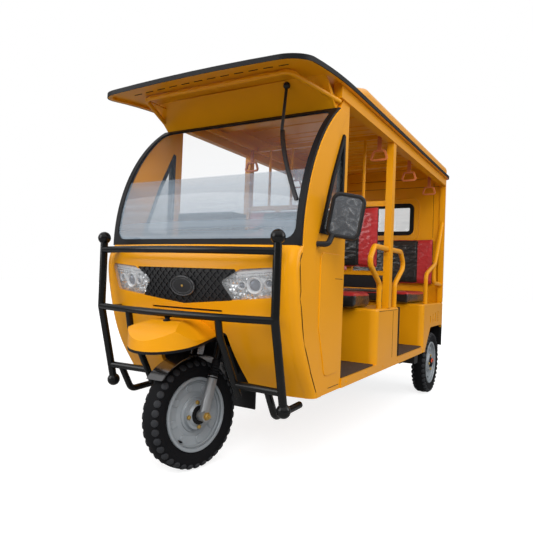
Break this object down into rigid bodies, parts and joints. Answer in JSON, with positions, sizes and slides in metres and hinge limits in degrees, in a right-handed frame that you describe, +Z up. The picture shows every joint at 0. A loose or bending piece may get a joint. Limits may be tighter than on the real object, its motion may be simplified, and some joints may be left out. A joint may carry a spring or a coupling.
{
  "type": "electric passenger tricycle",
  "caption": "Open-sided electric passenger tricycle with a steered front wheel, closed nose, full-length roof and benches for a driver and passengers.",
  "frame": {"origin": "on the ground, at the middle of the vehicle's length and width", "axes": "+Z up, -Y is the way the vehicle faces, +X is the vehicle's left side"},
  "size_m": [1.3684, 2.996, 1.8239],
  "materials": {
    "yellow_paint": "gloss",
    "black_paint": "gloss",
    "chassis_paint": "satin",
    "wheel_paint": "satin",
    "black_plastic": "satin",
    "black_rubber": "matte",
    "floor_rubber": "matte",
    "clear_glass": "gloss",
    "lamp_clear": "gloss",
    "lamp_chrome": "polished",
    "tail_red": "gloss",
    "seat_vinyl": "satin",
    "strap_plastic": "satin",
    "fork_alloy": "satin",
    "mirror_face": "polished",
    "tyre_rubber": "matte",
    "battery_case": "matte"
  },
  "bodies": {
    "body": {"chassis_frame": "chassis_paint", "floor_pan": "yellow_paint", "floor_mats": "floor_rubber", "side_sills": "yellow_paint", "nose_panel": "yellow_paint", "grille": "black_plastic", "headlamp_housings": "lamp_chrome", "headlamp_lenses": "lamp_clear", "front_fender": "yellow_paint", "edge_trim": "black_rubber", "wheel_liner": "black_plastic", "bull_bar": "black_paint", "windscreen_frame": "black_rubber", "windscreen_glass": "clear_glass", "side_panels": "yellow_paint", "window_seals": "black_rubber", "cabin_glass": "clear_glass", "cab_frame": "yellow_paint", "partition": "yellow_paint", "roof_panel": "yellow_paint", "windscreen_header": "yellow_paint", "dashboard": "black_plastic", "front_seat_box": "yellow_paint", "battery_pack": "battery_case", "front_cushion": "seat_vinyl", "front_backrest": "seat_vinyl", "rear_body": "yellow_paint", "rear_cushion": "seat_vinyl", "rear_backrest": "seat_vinyl", "rear_wall": "yellow_paint", "grab_rails": "yellow_paint", "hand_straps": "strap_plastic", "mirrors": "black_plastic", "mirror_glass": "mirror_face", "wiper": "black_plastic", "tail_lamps": "tail_red", "mud_flaps": "black_rubber", "leaf_springs": "chassis_paint", "rear_axle": "chassis_paint"},
    "steering": {"fork_sliders": "fork_alloy", "fork_yoke": "black_paint", "handlebar": "black_paint", "front_mudguard": "black_plastic"},
    "front_wheel": {"front_tyre": "tyre_rubber", "front_rim": "wheel_paint"},
    "rear_wheel_left": {"rear_tyre_left": "tyre_rubber", "rear_rim_left": "wheel_paint"},
    "rear_wheel_right": {"rear_tyre_right": "tyre_rubber", "rear_rim_right": "wheel_paint"}
  },
  "joints": [
    {"name": "steering_turn", "type": "hinge", "parent": "body", "child": "steering", "pos_m": [0, -1.129, 0.236], "axis": [0, 0.3256, 0.9455], "range_deg": [-28, 52]},
    {"name": "front_wheel_spin", "type": "hinge", "parent": "steering", "child": "front_wheel", "pos_m": [-0.00622, -1.16138, 0.23179], "axis": [0.9781, -0.1966, 0.0677], "continuous": true},
    {"name": "rear_wheel_left_spin", "type": "hinge", "parent": "body", "child": "rear_wheel_left", "pos_m": [0.457, 1.148, 0.232], "axis": [1, 0, 0], "continuous": true},
    {"name": "rear_wheel_right_spin", "type": "hinge", "parent": "body", "child": "rear_wheel_right", "pos_m": [-0.457, 1.148, 0.232], "axis": [1, 0, 0], "continuous": true}
  ]
}
